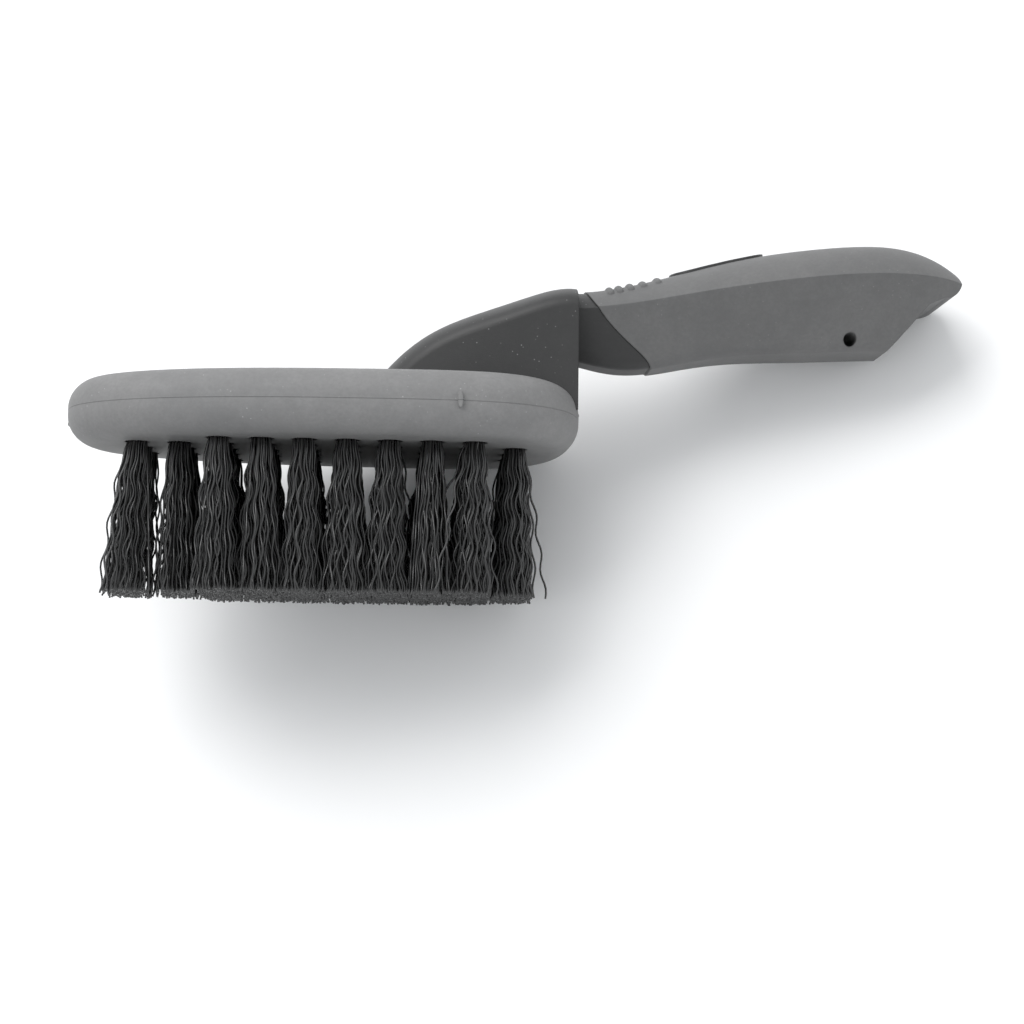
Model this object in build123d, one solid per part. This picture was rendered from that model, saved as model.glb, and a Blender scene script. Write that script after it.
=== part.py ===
from build123d import *
import math
import os

# A small wheel brush lying on its side: crimped black tufts stapled into a rigid core,
# a soft bumper moulded round the head and a soft grip moulded over the handle.
#
# The pieces are built in the brush's own frame: +X from the head to the handle, the tips of
# the tufts at Z = 0 with the head above them, Y across. The last step turns the finished
# pieces to the attitude in which the brush lies still and puts the origin under their middle.

# --- head (mm) ---
HEAD_FRONT = 49.2            # from the widest point of the head to its front end
HEAD_REAR = 19.3             # from the widest point to the rear end, under the neck
HEAD_HALF_WIDTH = 20.5
HEAD_THICKNESS = 8.6
HEAD_EDGE_RADIUS = 3.8
HEAD_EDGE_FLAT = 0.4         # upright band left on the rim between its rounded edges
HEAD_SQUARENESS = 2.5        # exponent of the plan outline, where 2 is an ellipse
OUTLINE_POINTS = 28
BUMPER_WALL = 4.2            # soft rim outside the rigid core plate
BUMPER_SKIN = 1.0            # soft layer over the face that carries the tufts
GATE_TAB_LENGTH = 2.2
GATE_TAB_WIDTH = 0.7
GATE_TAB_PROUD = 0.45
GATE_TAB_AFT = 2.7           # behind the widest point of the head
NUB_RADIUS = 0.4
NUB_PROUD = 0.3
NUB_OFF_CENTRE = 1.3         # across the rim's mid height

# --- tufts ---
TUFT_LENGTH = 20.45          # free length below the head's face
COLUMNS = 10
ROW_FIRST_COLUMN = {-2: 3, -1: 1, 0: 1, 1: 1, 2: 3}
ROW_LAST_COLUMN = {-2: 9, -1: 10, 0: 10, 1: 10, 2: 9}
FIELD_FRONT_MARGIN = 9.8     # head's front end to the first column
FIELD_REAR_MARGIN = 8.8      # head's rear end to the last column
FIELD_SIDE_MARGIN = 8.9      # head's side to the outer row
HOLE_DIAMETER = 3.0
HOLE_DEPTH = 5.6             # into the core plate
TUFT_CLEARANCE = 0.05
SKIN_HOLE_CLEARANCE = 0.15
TUFT_SPLAY = 0.2             # growth of a tuft's radius from its root to its tip
ANCHOR_THICKNESS = 0.4
ANCHOR_HEIGHT = 1.7
ANCHOR_BITE = 0.4            # into the core on each side of the hole
ANCHOR_CLEARANCE = 0.02      # round the anchor in its slot in the core
FOLD_THICKNESS = 0.6         # filaments folded over the anchor

# --- neck: a deep fin that rises from the rear of the head ---
FIN_WALL_INSET = 0.6         # fin's rear wall ahead of the head's rear end
FIN_ROOT_DEPTH = 3.4         # fin's root below the head's top
FIN_CROWN = 3.6
# distance ahead of the rear wall, height over the head's top, half width
FIN_STATIONS = [
    (28.4, -0.6, 3.0),
    (25.0, 3.2, 5.2),
    (19.7, 7.6, 7.2),
    (13.0, 10.6, 8.2),
    (6.0, 13.1, 8.5),
    (0.0, 14.2, 8.5),
]

# --- handle sections: distance behind the head's rear end, top, shoulder and bottom over
# the head's top, half width at the shoulder and at the bottom ---
HANDLE_STATIONS = [
    (-2.5, 14.2, 10.6, 4.1, 6.5, 4.0),
    (3.2, 14.3, 11.0, 3.2, 6.8, 4.2),
    (9.0, 15.5, 11.7, 3.1, 7.8, 4.6),
    (17.5, 17.8, 13.0, 4.7, 9.6, 5.2),
    (27.5, 20.0, 14.4, 5.6, 10.8, 5.8),
    (37.5, 21.2, 15.4, 6.1, 11.0, 6.0),
    (45.5, 20.8, 15.6, 6.4, 10.0, 5.6),
    (50.3, 18.8, 15.4, 7.0, 7.8, 4.8),
    (53.6, 16.2, 14.6, 8.6, 4.6, 3.0),
]
SECTION_CORNER = 2.2         # bottom corners of the handle's section
NECK_STEP = 0.2              # core neck below the grip's surface
GRIP_WALL = 2.4              # soft grip over the core's tongue
TONGUE_END = 31.0            # tongue's end behind the head's rear end

# --- handle's rear end and the line where the grip begins, behind and over the head ---
HEEL = (41.4, 5.5)
NOTCH = (47.1, 12.2)
NOSE_UNDER = (49.4, 13.2)
NOSE_TIP = (51.9, 15.7)
NOSE_OVER = (51.2, 17.5)
GRIP_LINE = [(0.6, 15.5), (3.8, 8.9), (7.1, 5.9), (9.8, 3.2), (10.4, 0.5)]

# --- thumb ribs, palm inlay and hang hole ---
RIBS = 5
RIB_START = 4.1
RIB_PITCH = 1.15
RIB_PITCH_GROWTH = 0.12
RIB_RADIUS = 0.5
RIB_PROUD = 0.3
RIB_HALF_WIDTH = 4.4
INLAY_START = 12.6
INLAY_LENGTH = 13.0
INLAY_HALF_WIDTH = 3.0
INLAY_PROUD = 0.35
HANG_HOLE_DIAMETER = 1.8
HANG_HOLE_BEHIND = 36.5
HANG_HOLE_OVER = 7.45

# --- attitude at rest: turned onto its side, then rolled and pitched till it lies still ---
SIDE_TURN = -90.0
REST_ROLL = 16.62
REST_PITCH = 14.93

# --- derived places ---
FACE_Z = TUFT_LENGTH
HEAD_TOP_Z = FACE_Z + HEAD_THICKNESS
HEAD_MID_Z = FACE_Z + HEAD_THICKNESS / 2
HEAD_LENGTH = HEAD_FRONT + HEAD_REAR
COLUMN_PITCH = (HEAD_LENGTH - FIELD_FRONT_MARGIN - FIELD_REAR_MARGIN) / (COLUMNS - 1)
ROW_PITCH = (HEAD_HALF_WIDTH - FIELD_SIDE_MARGIN) / 2
HOLE_TOP_Z = FACE_Z + BUMPER_SKIN + HOLE_DEPTH
FIN_WALL_X = HEAD_LENGTH - FIN_WALL_INSET
TALL = 100.0                 # more than any height or width, for cutting prisms


def head_point(angle, inset):
    """A point of the head's plan outline, drawn in by inset."""
    c = math.cos(angle)
    s = math.sin(angle)
    length = (HEAD_REAR if c > 0 else HEAD_FRONT) - inset
    power = 2 / HEAD_SQUARENESS
    x = HEAD_FRONT + math.copysign(length * abs(c) ** power, c)
    y = math.copysign((HEAD_HALF_WIDTH - inset) * abs(s) ** power, s)
    return (x, y)


def head_slab(inset, z_low, z_high):
    """A slab of the head's plan outline between two heights."""
    step = 2 * math.pi / OUTLINE_POINTS
    points = [head_point(step * (i + 0.5), inset) for i in range(OUTLINE_POINTS)]
    face = make_face(Spline(*points, periodic=True))
    return extrude(face, z_high - z_low).moved(Location((0, 0, z_low)))


def side_prism(points):
    """A straight-sided X-Z outline pushed through the whole width."""
    face = Plane.XZ * make_face(Polyline(*points, close=True))
    return extrude(face, TALL, both=True)


def fin_section(station):
    """The fin's cross-section: straight sides under an elliptical crown."""
    ahead, height, half = station
    top = HEAD_TOP_Z + height
    low = HEAD_TOP_Z - FIN_ROOT_DEPTH
    crown = min(FIN_CROWN, 0.8 * (top - low))
    spring = top - crown
    arc = EllipticalCenterArc((0, spring), half, crown, arc_size=180)
    sides = Polyline((-half, spring), (-half, low), (half, low), (half, spring))
    face = make_face(arc + sides)
    return Plane((FIN_WALL_X - ahead, 0, 0), (0, 1, 0), (1, 0, 0)) * face


def handle_section(station, inset):
    """The handle's cross-section: arched top, sloping sides, rounded bottom corners."""
    behind, top, shoulder, bottom, half_top, half_low = station
    top = HEAD_TOP_Z + top - inset
    shoulder = HEAD_TOP_Z + shoulder - inset / 2
    bottom = HEAD_TOP_Z + bottom + inset
    wide = half_top - inset
    narrow = half_low - inset / 2
    corner = min(SECTION_CORNER, 0.8 * narrow)
    lean = math.atan2(wide - narrow, shoulder - bottom)
    side_end = (
        narrow - corner + corner * math.cos(lean),
        bottom + corner - corner * math.sin(lean),
    )
    bend = math.radians(-45) - lean / 2
    mid = (
        narrow - corner + corner * math.cos(bend),
        bottom + corner + corner * math.sin(bend),
    )
    foot = (narrow - corner, bottom)
    edges = [
        ThreePointArc((-wide, shoulder), (0, top), (wide, shoulder)),
        Line((wide, shoulder), side_end),
        ThreePointArc(side_end, mid, foot),
        Line(foot, (-foot[0], bottom)),
        ThreePointArc((-foot[0], bottom), (-mid[0], mid[1]), (-side_end[0], side_end[1])),
        Line((-side_end[0], side_end[1]), (-wide, shoulder)),
    ]
    face = make_face(Wire(edges))
    return Plane((HEAD_LENGTH + behind, 0, 0), (0, 1, 0), (1, 0, 0)) * face


def handle_form(inset):
    """The whole handle's outer form, drawn in by inset."""
    return loft([handle_section(station, inset) for station in HANDLE_STATIONS])


def between(value, low, high):
    """Straight-line share of the way from low to high."""
    return (value - low) / (high - low)


def crown_height(behind, y):
    """Height of the handle's arched top over the head's top at a place on it."""
    for near, far in zip(HANDLE_STATIONS, HANDLE_STATIONS[1:]):
        if near[0] <= behind <= far[0]:
            share = between(behind, near[0], far[0])
            top, shoulder, half = [
                near[i] + share * (far[i] - near[i]) for i in (1, 2, 4)
            ]
    rise = top - shoulder
    radius = (half ** 2 + rise ** 2) / (2 * rise)
    return top - radius + math.sqrt(radius ** 2 - y ** 2)


def over_head(point):
    """A handle outline point, given behind and over the head, in the brush's frame."""
    return (HEAD_LENGTH + point[0], HEAD_TOP_Z + point[1])


def rear_outline():
    """Everything ahead of the handle's raked heel, notch and blunt nose."""
    heel = over_head(HEEL)
    notch = over_head(NOTCH)
    rake = (notch[0] - heel[0]) / (notch[1] - heel[1])
    low = heel[1] - 10
    heel_low = (heel[0] - rake * (heel[1] - low), low)
    tip = over_head(NOSE_TIP)
    over = over_head(NOSE_OVER)
    outline = Polyline((0, TALL), (0, low), heel_low, notch, over_head(NOSE_UNDER))
    outline += ThreePointArc(over_head(NOSE_UNDER), tip, over)
    outline += Polyline(over, (over[0] - 8, TALL), (0, TALL))
    return extrude(Plane.XZ * make_face(outline), TALL, both=True)


def ahead_of_grip_line():
    """Everything ahead of the line where the soft grip begins."""
    points = [over_head(point) for point in GRIP_LINE]
    first = points[0]
    last = points[-1]
    outline = Spline(*points)
    outline += Polyline(last, (last[0], -TALL), (0, -TALL), (0, TALL), (first[0], TALL), first)
    return extrude(Plane.XZ * make_face(outline), TALL, both=True)


def hang_hole():
    """The transverse hole near the heel of the handle."""
    place = (HEAD_LENGTH + HANG_HOLE_BEHIND, 0, HEAD_TOP_Z + HANG_HOLE_OVER)
    return Pos(*place) * Rot(90, 0, 0) * Cylinder(HANG_HOLE_DIAMETER / 2, TALL)


def inlay_prism():
    """The upright prism of the palm inlay, from the tongue up."""
    middle = HEAD_LENGTH + INLAY_START + INLAY_LENGTH / 2
    slot = SlotOverall(INLAY_LENGTH, 2 * INLAY_HALF_WIDTH)
    return Pos(middle, 0, HEAD_TOP_Z + 10) * extrude(slot, 30)


def thumb_ribs():
    """Rounded ribs across the top of the grip, with a pitch that grows to the rear."""
    ribs = []
    sunk = RIB_RADIUS - RIB_PROUD
    for i in range(RIBS):
        behind = RIB_START + RIB_PITCH * i + RIB_PITCH_GROWTH * i * i
        x = HEAD_LENGTH + behind
        ends = [
            (x, y, HEAD_TOP_Z + crown_height(behind, y) - sunk)
            for y in (-RIB_HALF_WIDTH, 0, RIB_HALF_WIDTH)
        ]
        path = ThreePointArc(*ends)
        disc = Plane(path @ 0, z_dir=path % 0) * Circle(RIB_RADIUS)
        ribs.append(sweep(disc, path))
        ribs.append(Pos(*ends[0]) * Sphere(RIB_RADIUS))
        ribs.append(Pos(*ends[2]) * Sphere(RIB_RADIUS))
    return ribs


def tuft_places():
    """Row number, column number, x and y of every tuft."""
    places = []
    for row in sorted(ROW_FIRST_COLUMN):
        for column in range(ROW_FIRST_COLUMN[row], ROW_LAST_COLUMN[row] + 1):
            x = FIELD_FRONT_MARGIN + (column - 1) * COLUMN_PITCH
            places.append((row, column, x, row * ROW_PITCH))
    return places


def anchor(spare=0.0):
    """A flat wire anchor, driven across the fold of a tuft at the bottom of its hole."""
    width = HOLE_DIAMETER + 2 * ANCHOR_BITE
    z = HOLE_TOP_Z - FOLD_THICKNESS - ANCHOR_HEIGHT / 2
    sizes = [size + 2 * spare for size in (width, ANCHOR_THICKNESS, ANCHOR_HEIGHT)]
    return Pos(0, 0, z) * Box(*sizes)


def tuft():
    """The space of one tuft: its bound root in the hole and its splayed free length."""
    root = HOLE_DIAMETER / 2 - TUFT_CLEARANCE
    tip = root + TUFT_SPLAY
    top = HOLE_TOP_Z - TUFT_CLEARANCE
    outline = Polyline((0, 0), (tip, 0), (root, FACE_Z), (root, top), (0, top), close=True)
    solid = revolve(Plane.XZ * make_face(outline), Axis.Z)
    return solid - anchor()


def tuft_hole(radius, z_low, z_high):
    """A round hole between two heights."""
    height = z_high - z_low
    return Pos(0, 0, z_low + height / 2) * Cylinder(radius, height)


def make_core():
    """Rigid core: head plate, fin, neck, tongue inside the grip and palm inlay."""
    plate = head_slab(BUMPER_WALL, FACE_Z + BUMPER_SKIN, HEAD_TOP_Z)
    fin = loft([fin_section(station) for station in FIN_STATIONS])
    neck = handle_form(NECK_STEP) & ahead_of_grip_line()
    tongue_limit = HEAD_LENGTH + TONGUE_END
    tongue = handle_form(GRIP_WALL) & side_prism(
        [(0, 0), (tongue_limit, 0), (tongue_limit, TALL), (0, TALL)]
    )
    inlay = handle_form(-INLAY_PROUD) & inlay_prism()
    return plate + fin + neck + tongue + inlay


def make_bumper(core):
    """Soft bumper: rounded rim and thin face skin, moulded onto the core."""
    body = head_slab(0, FACE_Z, HEAD_TOP_Z)
    rims = body.edges().group_by(Axis.Z)
    radius = min(HEAD_EDGE_RADIUS, (HEAD_THICKNESS - HEAD_EDGE_FLAT) / 2)
    body = fillet(rims[0] + rims[-1], radius)
    tab = Ellipse(GATE_TAB_WIDTH / 2, GATE_TAB_LENGTH / 2)
    tab_x = HEAD_FRONT + GATE_TAB_AFT
    tab_y = -HEAD_HALF_WIDTH - GATE_TAB_PROUD
    body += Plane((tab_x, tab_y, HEAD_MID_Z), (1, 0, 0), (0, -1, 0)) * extrude(tab, -3)
    for x, lift in ((0, -NUB_OFF_CENTRE), (HEAD_LENGTH, NUB_OFF_CENTRE)):
        outward = -1 if x == 0 else 1
        start = x + outward * (NUB_PROUD - NUB_RADIUS)
        body += Pos(start, 0, HEAD_MID_Z + lift) * Sphere(NUB_RADIUS)
    return body - core


def make_grip(core):
    """Soft grip over the tongue, with thumb ribs, a palm window and the hang hole."""
    body = (handle_form(0) & rear_outline()) - ahead_of_grip_line()
    for rib in thumb_ribs():
        body += rib
    return body - inlay_prism() - core - hang_hole()


def rest(piece):
    """A piece turned to the attitude of rest, not yet moved over the origin."""
    turn = Rot(0, REST_PITCH, 0) * Rot(REST_ROLL, 0, 0) * Rot(SIDE_TURN, 0, 0)
    return turn * piece


def build_nodes():
    """Every node's name and shape in the brush's own frame."""
    places = tuft_places()
    core = make_core()
    bumper = make_bumper(core)
    grip = make_grip(core)
    hole = tuft_hole(HOLE_DIAMETER / 2, FACE_Z, HOLE_TOP_Z)
    skin_radius = HOLE_DIAMETER / 2 + SKIN_HOLE_CLEARANCE
    skin_hole = tuft_hole(skin_radius, FACE_Z - 1, FACE_Z + BUMPER_SKIN)
    seat = hole + anchor(ANCHOR_CLEARANCE)
    core = core - [Pos(x, y, 0) * seat for _, _, x, y in places]
    bumper = bumper - [Pos(x, y, 0) * skin_hole for _, _, x, y in places]
    nodes = {"body_core": core, "head_bumper": bumper, "handle_grip": grip}
    for row in sorted(ROW_FIRST_COLUMN):
        name = f"anchors_row_{row - min(ROW_FIRST_COLUMN) + 1}"
        anchors = [Pos(x, y, 0) * anchor() for r, _, x, y in places if r == row]
        nodes[name] = Compound(children=anchors)
    for row, column, x, y in places:
        name = f"tuft_row_{row - min(ROW_FIRST_COLUMN) + 1}_{column:02d}"
        nodes[name] = Pos(x, y, 0) * tuft()
    return nodes


def main():
    """Build the pieces, lay them at rest over the origin and write one STEP for each."""
    os.makedirs("parts", exist_ok=True)
    nodes = {name: rest(shape) for name, shape in build_nodes().items()}
    boxes = [shape.bounding_box() for shape in nodes.values()]
    x_mid = (min(b.min.X for b in boxes) + max(b.max.X for b in boxes)) / 2
    y_mid = (min(b.min.Y for b in boxes) + max(b.max.Y for b in boxes)) / 2
    z_low = min(b.min.Z for b in boxes)
    for name, shape in nodes.items():
        export_step(Pos(-x_mid, -y_mid, -z_low) * shape, f"parts/{name}.step")
    print("moved by", -x_mid, -y_mid, -z_low)


main()
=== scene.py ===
import math

import bpy
import numpy as np
from mathutils import Matrix, Vector


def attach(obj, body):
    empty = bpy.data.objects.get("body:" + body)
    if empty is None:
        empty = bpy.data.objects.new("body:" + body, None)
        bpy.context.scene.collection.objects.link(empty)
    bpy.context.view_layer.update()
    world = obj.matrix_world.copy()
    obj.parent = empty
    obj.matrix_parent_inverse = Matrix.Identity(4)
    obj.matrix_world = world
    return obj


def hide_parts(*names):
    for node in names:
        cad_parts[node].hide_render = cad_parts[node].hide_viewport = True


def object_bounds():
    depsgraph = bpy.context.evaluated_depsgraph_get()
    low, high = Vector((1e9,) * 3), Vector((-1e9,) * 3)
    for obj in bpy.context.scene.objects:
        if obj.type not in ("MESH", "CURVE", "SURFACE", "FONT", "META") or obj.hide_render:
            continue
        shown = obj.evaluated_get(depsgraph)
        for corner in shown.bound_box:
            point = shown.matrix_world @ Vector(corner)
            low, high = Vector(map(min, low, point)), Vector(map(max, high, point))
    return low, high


# The wheel brush on its side on a white table: the moulded pieces keep their CAD shapes and
# get procedural materials, and every tuft becomes a bundle of crimped filaments.

MM = 0.001

# --- filaments (metres unless said) ---
FILAMENTS = 64               # in each tuft
FILAMENT_RADIUS = 0.14 * MM
FILAMENT_SIDES = 5
FILAMENT_RINGS = 36
ROOT_DEPTH = 3.2 * MM        # filaments start this far inside the hole
ROOT_SPREAD = 1.3 * MM       # bundle radius at the hole
CRIMP_LENGTH = 5.2 * MM
CRIMP_DEPTH = 0.34 * MM
TIP_GROWTH = 1.25            # growth of the bundle to its tips, as a share of its root
FRONT_SPLAY = 1.5 * MM       # how far the first column leans out of the head's front end
REAR_SPLAY = 0.2 * MM
STRAY_SHARE = 0.05           # filaments that bend well away from their bundle
STRAY_LEAN = 1.6 * MM
TIP_SCATTER = 0.22 * MM      # how far a tip strays within its bundle
TRIM = 0.5 * MM              # filaments end this far inside the tuft's solid
TRIM_SCATTER = 0.3 * MM      # unevenness of the trimmed tips
TABLE_CLEARANCE = 1.5 * FILAMENT_RADIUS
TABLE_EASING = 4 * FILAMENT_RADIUS

# --- moulded surfaces ---
GRAIN_DEPTH = 0.04 * MM
WAVE_DEPTH = 0.12 * MM
SEAM_DEPTH = 0.08 * MM
SEAM_HALF_WIDTH = 0.1 * MM
EDGE_ROUNDING = 0.3 * MM
SCRATCH_DEPTH = 0.02 * MM    # on filaments and anchor wire

# --- camera, placed round the brush as the reference view is ---
VIEW_TARGET = (-0.00643, -0.00193, -0.00564)
VIEW_TOWARD = (0.18068, -0.38141, 0.90661)
VIEW_UP = (0.0798, 0.9243, 0.3730)
VIEW_DISTANCE = 0.300
VIEW_LENS = 71.9


# ---------------------------------------------------------------- materials

class Nodes:
    """Short helpers over one material's node tree."""

    def __init__(self, name):
        self.material = bpy.data.materials.new(name)
        self.material.use_nodes = True
        self.tree = self.material.node_tree
        self.tree.nodes.clear()
        self.out = self.tree.nodes.new("ShaderNodeOutputMaterial")
        self.shader = self.tree.nodes.new("ShaderNodeBsdfPrincipled")
        self.link(self.shader.outputs["BSDF"], self.out.inputs["Surface"])
        self.place = self.tree.nodes.new("ShaderNodeTexCoord").outputs["Object"]

    def link(self, source, target):
        self.tree.links.new(source, target)

    def noise(self, scale, detail=3.0, roughness=0.5):
        node = self.tree.nodes.new("ShaderNodeTexNoise")
        node.inputs["Scale"].default_value = scale
        node.inputs["Detail"].default_value = detail
        node.inputs["Roughness"].default_value = roughness
        self.link(self.place, node.inputs["Vector"])
        return node.outputs["Fac"]

    def cells(self, scale):
        node = self.tree.nodes.new("ShaderNodeTexVoronoi")
        node.inputs["Scale"].default_value = scale
        self.link(self.place, node.inputs["Vector"])
        return node.outputs["Distance"]

    def spread(self, value, low, high, to_low, to_high):
        node = self.tree.nodes.new("ShaderNodeMapRange")
        for i, number in enumerate((low, high, to_low, to_high)):
            node.inputs[i + 1].default_value = number
        self.link(value, node.inputs[0])
        return node.outputs[0]

    def maths(self, operation, first, second):
        node = self.tree.nodes.new("ShaderNodeMath")
        node.operation = operation
        for i, value in enumerate((first, second)):
            if isinstance(value, (int, float)):
                node.inputs[i].default_value = value
            else:
                self.link(value, node.inputs[i])
        return node.outputs[0]

    def mix(self, factor, first, second):
        node = self.tree.nodes.new("ShaderNodeMix")
        node.data_type = "RGBA"
        self.link(factor, node.inputs["Factor"])
        for socket, value in ((node.inputs["A"], first), (node.inputs["B"], second)):
            if isinstance(value, tuple):
                socket.default_value = (*value, 1.0)
            else:
                self.link(value, socket)
        return node.outputs["Result"]

    def rounded(self, radius):
        """A normal that turns over the sharp edges, as moulded edges do."""
        node = self.tree.nodes.new("ShaderNodeBevel")
        node.samples = 6
        node.inputs["Radius"].default_value = radius
        return node.outputs["Normal"]

    def seam(self, axis, height, width):
        """One on a narrow line round the object at a height along an axis, else zero."""
        node = self.tree.nodes.new("ShaderNodeVectorMath")
        node.operation = "DOT_PRODUCT"
        self.link(self.place, node.inputs[0])
        node.inputs[1].default_value = axis
        away = self.maths("SUBTRACT", node.outputs["Value"], height)
        return self.spread(self.maths("ABSOLUTE", away, 0.0), 0.0, width, 1.0, 0.0)

    def bump(self, height, distance, strength, below=None):
        node = self.tree.nodes.new("ShaderNodeBump")
        node.inputs["Distance"].default_value = distance
        node.inputs["Strength"].default_value = strength
        self.link(height, node.inputs["Height"])
        if below is not None:
            self.link(below, node.inputs["Normal"])
        return node.outputs["Normal"]


def grey(value, warm=0.0):
    """A near-neutral linear colour."""
    return (value * (1 + warm), value, value * (1 - warm))


def moulded(name, base, roughness, grain, specular, dust, seam=None):
    """Moulded polymer: blotchy tone, fine grain, handling sheen, dust and a parting line."""
    n = Nodes(name)
    blotch = n.spread(n.noise(90, 4.0, 0.6), 0.3, 0.7, 0.0, 1.0)
    colour = n.mix(blotch, grey(base * 0.9), grey(base * 1.08, 0.01))
    rubbed = n.spread(n.noise(420, 5.0, 0.65), 0.4, 0.75, 0.0, 0.35)
    colour = n.mix(rubbed, colour, grey(base * 1.3))
    mottle = n.spread(n.noise(1900, 3.0, 0.7), 0.35, 0.65, 0.0, 0.4)
    colour = n.mix(mottle, colour, grey(base * 0.8))
    patch = n.spread(n.noise(170, 2.0), 0.45, 0.62, 0.0, 1.0)
    speck = n.spread(n.cells(1100), 0.0, 0.13, 1.0, 0.0)
    dusty = n.maths("MULTIPLY", n.maths("MULTIPLY", speck, patch), dust)
    colour = n.mix(dusty, colour, grey(0.6))
    normal = n.bump(n.noise(5200, 2.0, 0.6), GRAIN_DEPTH, grain, n.rounded(EDGE_ROUNDING))
    normal = n.bump(n.noise(240, 2.0), WAVE_DEPTH, 0.15, normal)
    if seam is not None:
        line = n.seam(*seam)
        colour = n.mix(n.maths("MULTIPLY", line, 0.4), colour, grey(base * 0.45))
        normal = n.bump(line, SEAM_DEPTH, 0.8, normal)
    n.link(colour, n.shader.inputs["Base Color"])
    handled = n.spread(n.noise(60, 3.0), 0.35, 0.7, roughness - 0.07, roughness + 0.06)
    n.link(handled, n.shader.inputs["Roughness"])
    n.shader.inputs["Specular IOR Level"].default_value = specular
    n.link(normal, n.shader.inputs["Normal"])
    return n.material


def filament_material():
    """Black crimped monofilament: every strand a little different, with scuffed grey patches."""
    n = Nodes("filament_black")
    geometry = n.tree.nodes.new("ShaderNodeNewGeometry")
    island = geometry.outputs["Random Per Island"]
    colour = n.mix(island, grey(0.007), grey(0.02, 0.02))
    scuff = n.spread(n.noise(900, 4.0, 0.7), 0.55, 0.8, 0.0, 0.4)
    colour = n.mix(scuff, colour, grey(0.03, 0.01))
    n.link(colour, n.shader.inputs["Base Color"])
    n.link(n.spread(island, 0.0, 1.0, 0.2, 0.34), n.shader.inputs["Roughness"])
    n.shader.inputs["Specular IOR Level"].default_value = 0.75
    draw = n.bump(n.noise(7000, 2.0), SCRATCH_DEPTH, 0.3)
    n.link(draw, n.shader.inputs["Normal"])
    return n.material


def wire_material():
    """Drawn flat anchor wire."""
    n = Nodes("anchor_wire")
    colour = n.mix(n.noise(2500, 4.0), grey(0.42, 0.03), grey(0.62, 0.02))
    n.link(colour, n.shader.inputs["Base Color"])
    n.link(n.spread(n.noise(1800), 0.3, 0.7, 0.25, 0.45), n.shader.inputs["Roughness"])
    n.shader.inputs["Metallic"].default_value = 1.0
    n.link(n.bump(n.noise(4000), SCRATCH_DEPTH, 0.3), n.shader.inputs["Normal"])
    return n.material


def table_material():
    """White paper under the brush."""
    n = Nodes("white_paper")
    colour = n.mix(n.noise(30), grey(0.86), grey(0.9))
    n.link(colour, n.shader.inputs["Base Color"])
    n.shader.inputs["Roughness"].default_value = 0.85
    n.shader.inputs["Specular IOR Level"].default_value = 0.2
    return n.material


def dress(node, material):
    """Gives a carried-over CAD node its material."""
    node.data.materials.clear()
    node.data.materials.append(material)
    for face in node.data.polygons:
        face.material_index = 0


# ---------------------------------------------------------------- tufts

def tuft_line(name):
    """Root and tip of a tuft's axis, from its CAD solid. The tip is the end towards -Y."""
    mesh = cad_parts[name].data
    points = np.empty(len(mesh.vertices) * 3)
    mesh.vertices.foreach_get("co", points)
    points = points.reshape(-1, 3)
    middle = (points.min(0) + points.max(0)) / 2
    axis = np.linalg.svd(points - points.mean(0), full_matrices=False)[2][0]
    if axis[1] > 0:
        axis = -axis
    along = (points - middle) @ axis
    return middle + axis * along.min(), middle + axis * along.max()


def across(axis):
    """Two unit directions across a tuft: along the head, and from side to side."""
    head_way = np.array([1.0, 0.0, 0.0])
    forward = head_way - axis * (head_way @ axis)
    forward /= np.linalg.norm(forward)
    return forward, np.cross(axis, forward)


def bundle_places(count):
    """Evenly spread places in a unit disc, on a sunflower spiral."""
    turn = math.pi * (3 - math.sqrt(5))
    index = np.arange(count)
    radius = np.sqrt((index + 0.5) / count)
    return np.c_[radius * np.cos(turn * index), radius * np.sin(turn * index)]


def filament_paths(length, lean, random):
    """Centre lines of one tuft's filaments: offsets forward and sideways, and depth."""
    share = np.linspace(0.0, 1.0, FILAMENT_RINGS)
    free = np.clip((share * (length + ROOT_DEPTH) - ROOT_DEPTH) / length, 0.0, 1.0)
    tuft_phase = random.uniform(0, 2 * math.pi)
    tuft_way = random.normal(0, 0.4)
    paths = []
    for place in bundle_places(FILAMENTS):
        root = place * ROOT_SPREAD * random.uniform(0.94, 1.03)
        way = tuft_way + random.normal(0, 0.5)
        phase = tuft_phase + place[0] * 0.8 + random.normal(0, 0.45)
        wave_length = CRIMP_LENGTH * random.normal(1.0, 0.06)
        depth = CRIMP_DEPTH * random.uniform(0.5, 1.15)
        out = place * ROOT_SPREAD * TIP_GROWTH * random.uniform(0.75, 1.25)
        out = out + random.normal(0, 1, 2) * TIP_SCATTER + np.array(lean) * random.uniform(0.5, 1.6)
        if random.random() < STRAY_SHARE:
            out = out + random.normal(0, 1, 2) * STRAY_LEAN
        reach = length - random.uniform(0, 1) * TRIM_SCATTER
        rise = -ROOT_DEPTH + share * (reach + ROOT_DEPTH)
        swing = np.sin(rise / wave_length * 2 * math.pi + phase) * depth
        swing = swing * np.clip(free * 4, 0.0, 1.0)
        curve = free ** random.uniform(0.55, 0.9)
        forward = root[0] + out[0] * curve + swing * math.cos(way)
        sideways = root[1] + out[1] * curve + swing * math.sin(way)
        paths.append(np.c_[forward, sideways, rise])
    return paths


def lie_on_table(points):
    """Points eased up where filaments would pass under the table."""
    over = points[:, 2] - TABLE_CLEARANCE
    eased = TABLE_EASING * np.exp(over / TABLE_EASING - 1)
    points[:, 2] = TABLE_CLEARANCE + np.where(over < TABLE_EASING, eased, over)
    return points


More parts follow.
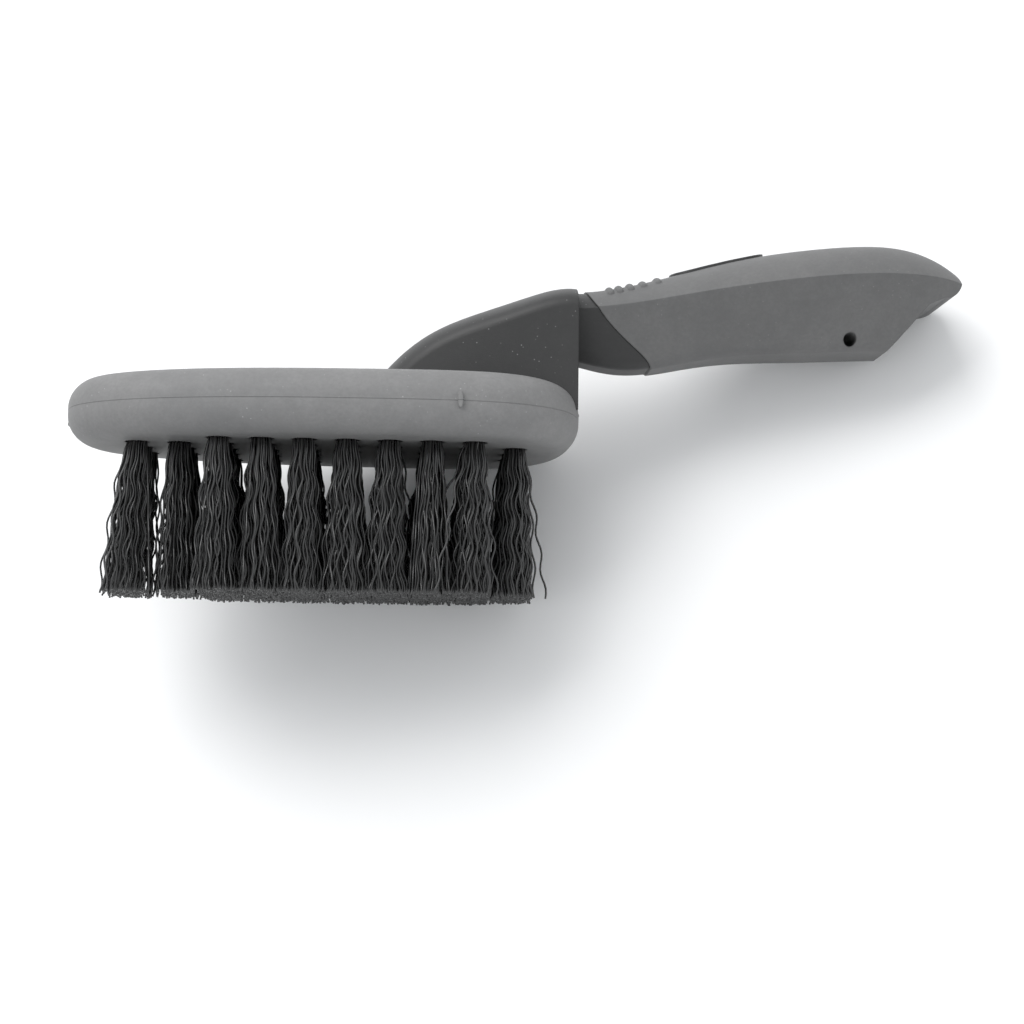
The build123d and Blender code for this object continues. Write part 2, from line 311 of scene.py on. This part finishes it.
def tube_mesh(name, paths, radius, sides):
    """One mesh of closed tubes round centre lines, each ring lying across its filament."""
    angle = np.arange(sides) * 2 * math.pi / sides
    points = []
    faces = []
    base = 0
    for path in paths:
        along = np.gradient(path, axis=0)
        along /= np.linalg.norm(along, axis=1)[:, None]
        first = np.cross(along, (0.3, 0.2, 0.93))
        first /= np.linalg.norm(first, axis=1)[:, None]
        second = np.cross(along, first)
        for c, a, b in zip(path, first, second):
            points.append(c + radius * (np.outer(np.cos(angle), a) + np.outer(np.sin(angle), b)))
        count = len(path)
        for i in range(count - 1):
            low = base + i * sides
            for j in range(sides):
                k = (j + 1) % sides
                faces.append((low + j, low + k, low + sides + k, low + sides + j))
        faces.append(tuple(base + j for j in reversed(range(sides))))
        last = base + (count - 1) * sides
        faces.append(tuple(last + j for j in range(sides)))
        base += count * sides
    mesh = bpy.data.meshes.new(name)
    mesh.from_pydata(np.vstack(points).tolist(), [], faces)
    mesh.polygons.foreach_set("use_smooth", [len(f) == 4 for f in faces])
    mesh.update()
    return mesh


def make_tuft(name, material, length, lean):
    """A tuft's bundle of crimped filaments in place of its CAD solid."""
    random = np.random.default_rng(sum(ord(c) * (i + 7) for i, c in enumerate(name)))
    root, tip = tuft_line(name)
    axis = (tip - root) / np.linalg.norm(tip - root)
    forward, sideways = across(axis)
    start = tip - axis * length
    ways = np.array((forward, sideways, axis))
    paths = [lie_on_table(p @ ways + start) for p in filament_paths(length - TRIM, lean, random)]
    mesh = tube_mesh(name + "_filaments", paths, FILAMENT_RADIUS, FILAMENT_SIDES)
    mesh.materials.append(material)
    piece = bpy.data.objects.new(name + "_filaments", mesh)
    bpy.context.scene.collection.objects.link(piece)
    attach(piece, "root")
    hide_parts(name)


def head_depths():
    """The tufts' axis, the free length of a tuft, and the rim's mid height on that axis."""
    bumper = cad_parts["head_bumper"].data
    root, tip = tuft_line(tuft_names()[0])
    axis = (tip - root) / np.linalg.norm(tip - root)
    along = np.array([v.co for v in bumper.vertices]) @ axis
    return axis, float(tip @ axis - along.max()), float((along.min() + along.max()) / 2)


def tuft_names():
    """The names of all tuft nodes."""
    return sorted(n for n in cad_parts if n.startswith("tuft_"))


def make_tufts(length):
    """All tufts, the first and last columns leaning out of the head's ends."""
    material = filament_material()
    names = tuft_names()
    columns = {n: int(n.rsplit("_", 1)[1]) for n in names}
    first, last = min(columns.values()), max(columns.values())
    for name in names:
        lean = 0.0
        if columns[name] == first:
            lean = -FRONT_SPLAY
        elif columns[name] == last:
            lean = REAR_SPLAY
        make_tuft(name, material, length, (lean, 0.0))


# ---------------------------------------------------------------- stage

def make_table():
    """A wide white sheet at the height of the brush's lowest point."""
    low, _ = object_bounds()
    mesh = bpy.data.meshes.new("table")
    side = 3.0
    corners = [(-side, -side), (side, -side), (side, side), (-side, side)]
    mesh.from_pydata([(x, y, low.z) for x, y in corners], [], [(0, 1, 2, 3)])
    mesh.materials.append(table_material())
    table = bpy.data.objects.new("table", mesh)
    bpy.context.scene.collection.objects.link(table)


def view_axes():
    """The camera's right, up and backward directions."""
    toward = Vector(VIEW_TOWARD).normalized()
    right = Vector(VIEW_UP).cross(toward).normalized()
    return right, toward.cross(right), toward


def make_camera():
    """The camera at the reference view."""
    right, up, toward = view_axes()
    data = bpy.data.cameras.new("camera")
    data.lens = VIEW_LENS
    data.clip_start = 0.01
    camera = bpy.data.objects.new("camera", data)
    spin = Matrix((right, up, toward)).transposed().to_4x4()
    place = Vector(VIEW_TARGET) + toward * VIEW_DISTANCE
    camera.matrix_world = Matrix.Translation(place) @ spin
    bpy.context.scene.collection.objects.link(camera)
    bpy.context.scene.camera = camera


def make_light(name, across_view, up_view, out_view, side, power):
    """A square soft box, placed by the view's directions and aimed at the brush."""
    right, up, toward = view_axes()
    data = bpy.data.lights.new(name, "AREA")
    data.size = side
    data.energy = power
    light = bpy.data.objects.new(name, data)
    light.location = right * across_view + up * up_view + toward * out_view
    light.rotation_euler = light.location.to_track_quat("Z", "Y").to_euler()
    bpy.context.scene.collection.objects.link(light)


def make_lights():
    """A broad key from the upper left of the view and an even white surround."""
    make_light("key", -0.45, 0.75, 0.5, 0.8, 8.2)
    make_light("fill", 0.7, -0.2, 0.7, 0.9, 0.6)
    world = bpy.data.worlds.new("surround")
    world.use_nodes = True
    background = world.node_tree.nodes["Background"]
    background.inputs["Color"].default_value = (0.96, 0.98, 1.0, 1.0)
    background.inputs["Strength"].default_value = 0.88
    bpy.context.scene.world = world


# ---------------------------------------------------------------- build

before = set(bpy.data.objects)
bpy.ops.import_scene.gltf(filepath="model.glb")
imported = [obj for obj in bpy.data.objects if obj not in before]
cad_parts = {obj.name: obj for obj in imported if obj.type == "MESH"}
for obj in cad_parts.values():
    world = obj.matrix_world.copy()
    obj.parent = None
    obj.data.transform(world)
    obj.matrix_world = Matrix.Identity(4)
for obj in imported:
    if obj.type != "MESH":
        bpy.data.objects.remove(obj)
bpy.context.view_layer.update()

tuft_axis, tuft_length, rim_middle = head_depths()
rim_seam = (tuple(tuft_axis), rim_middle, SEAM_HALF_WIDTH)
dress(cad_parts["body_core"], moulded("core_black", 0.03, 0.5, 0.35, 0.4, 0.35))
dress(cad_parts["head_bumper"], moulded("bumper_grey", 0.19, 0.62, 0.5, 0.3, 0.5, rim_seam))
dress(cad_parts["handle_grip"], moulded("grip_grey", 0.125, 0.6, 0.5, 0.32, 0.2))
wire = wire_material()
for node_name in sorted(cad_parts):
    if node_name.startswith("anchors_"):
        dress(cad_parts[node_name], wire)
make_tufts(tuft_length)
make_table()
make_camera()
make_lights()
bpy.context.scene.view_settings.view_transform = "Standard"
